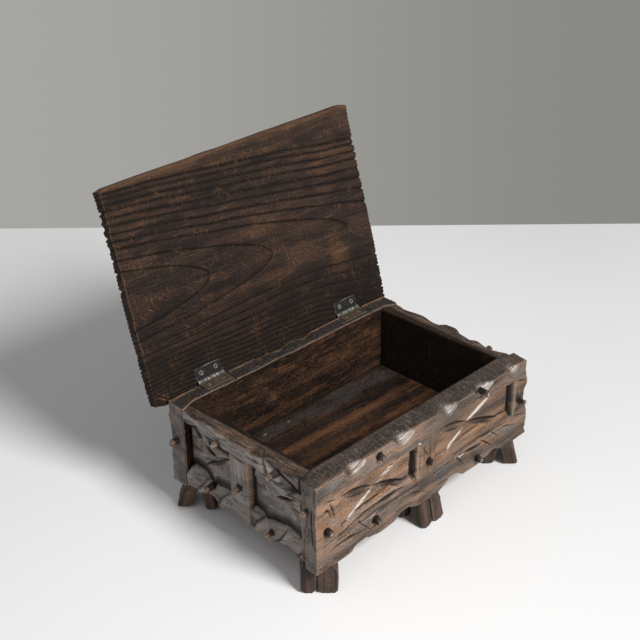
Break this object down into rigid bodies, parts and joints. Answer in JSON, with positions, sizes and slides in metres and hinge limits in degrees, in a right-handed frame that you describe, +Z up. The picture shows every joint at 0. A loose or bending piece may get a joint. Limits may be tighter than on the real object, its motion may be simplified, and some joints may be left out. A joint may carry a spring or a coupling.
{
  "type": "carved wooden box",
  "caption": "Low rectangular wooden box with notched, gouge-carved panel walls, wooden pegs, splayed slat feet and a rough plank lid on two small butt hinges, shown open.",
  "frame": {"origin": "on the floor, under the middle of the bounding box of the box with its lid open", "axes": "+X to the right along the front, -Y out of the front face, +Z up, as the box stands with its lid open"},
  "size_m": [0.319, 0.2776, 0.3148],
  "materials": {
    "carved_wood": "hand-carved softwood, stained brown with blue-grey patina, waxed on the arrises",
    "plain_wood": "dark stained plank with lighter grain bands, satin",
    "lid_wood": "dark scorched and brushed plank with raised grain, satin",
    "foot_wood": "dark stained slats with lighter worn arrises",
    "peg_wood": "dark stained pegs with grey cut ends",
    "hinge_iron": "tarnished iron with lighter worn edges"
  },
  "bodies": {
    "case": {"front_board": "carved_wood", "back_board": "carved_wood", "left_board": "carved_wood", "right_board": "carved_wood", "left_liner": "plain_wood", "right_liner": "plain_wood", "front_floor_board": "plain_wood", "back_floor_board": "plain_wood", "left_hinge_body_leaf": "hinge_iron", "left_hinge_pin": "hinge_iron", "right_hinge_body_leaf": "hinge_iron", "right_hinge_pin": "hinge_iron", "body_hinge_screws": "hinge_iron", "front_pegs": "peg_wood", "back_pegs": "peg_wood", "left_pegs": "peg_wood", "right_pegs": "peg_wood", "left_end_pegs": "peg_wood", "right_end_pegs": "peg_wood", "front_left_foot_outer_left_slat": "foot_wood", "front_left_foot_outer_right_slat": "foot_wood", "front_left_foot_inner_left_slat": "foot_wood", "front_left_foot_inner_right_slat": "foot_wood", "front_middle_foot_outer_left_slat": "foot_wood", "front_middle_foot_outer_right_slat": "foot_wood", "front_middle_foot_inner_left_slat": "foot_wood", "front_middle_foot_inner_right_slat": "foot_wood", "front_right_foot_outer_left_slat": "foot_wood", "front_right_foot_outer_right_slat": "foot_wood", "front_right_foot_inner_left_slat": "foot_wood", "front_right_foot_inner_right_slat": "foot_wood", "back_left_foot_outer_left_slat": "foot_wood", "back_left_foot_outer_right_slat": "foot_wood", "back_left_foot_inner_left_slat": "foot_wood", "back_left_foot_inner_right_slat": "foot_wood", "back_middle_foot_outer_left_slat": "foot_wood", "back_middle_foot_outer_right_slat": "foot_wood", "back_middle_foot_inner_left_slat": "foot_wood", "back_middle_foot_inner_right_slat": "foot_wood", "back_right_foot_outer_left_slat": "foot_wood", "back_right_foot_outer_right_slat": "foot_wood", "back_right_foot_inner_left_slat": "foot_wood", "back_right_foot_inner_right_slat": "foot_wood"},
    "lid": {"lid_plank": "lid_wood", "left_hinge_lid_leaf": "hinge_iron", "right_hinge_lid_leaf": "hinge_iron", "lid_hinge_screws": "hinge_iron"}
  },
  "joints": [
    {"name": "lid_hinge", "type": "hinge", "parent": "case", "child": "lid", "pos_m": [0, 0.06755, 0.117], "axis": [1, 0, 0], "range_deg": [0, 107]}
  ]
}
